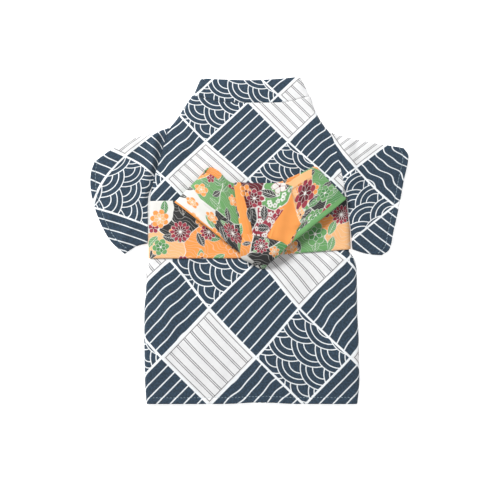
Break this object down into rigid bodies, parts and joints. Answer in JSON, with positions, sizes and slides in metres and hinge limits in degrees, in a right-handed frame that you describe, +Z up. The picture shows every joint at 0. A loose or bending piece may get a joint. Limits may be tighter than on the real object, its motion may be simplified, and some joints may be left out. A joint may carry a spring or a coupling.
{
  "type": "dog kimono",
  "caption": "Small dog's kimono laid flat, back up, with a lattice print, short wide sleeves, a folded neckband, and a flowered sash with a bow on the back.",
  "frame": {"origin": "middle of the overall box, on the surface that the garment lies on", "axes": "+Y towards the neck, +Z up out of the surface, -X towards the sleeve at the left of the view from above, which is the wearer's left"},
  "size_m": [0.2922, 0.301, 0.0209],
  "materials": {
    "kimono_cloth": "woven cotton, navy with a white lattice of striped and scalloped squares",
    "sash_cloth": "woven cotton, orange with green, crimson and white flowers and leaves"
  },
  "bodies": {
    "root": {"back_panel": "kimono_cloth", "front_left": "kimono_cloth", "front_right": "kimono_cloth", "collar": "kimono_cloth", "sleeve_left": "kimono_cloth", "sleeve_right": "kimono_cloth", "sash": "sash_cloth", "bow_ribbon": "sash_cloth", "bow_knot": "sash_cloth"}
  },
  "joints": []
}
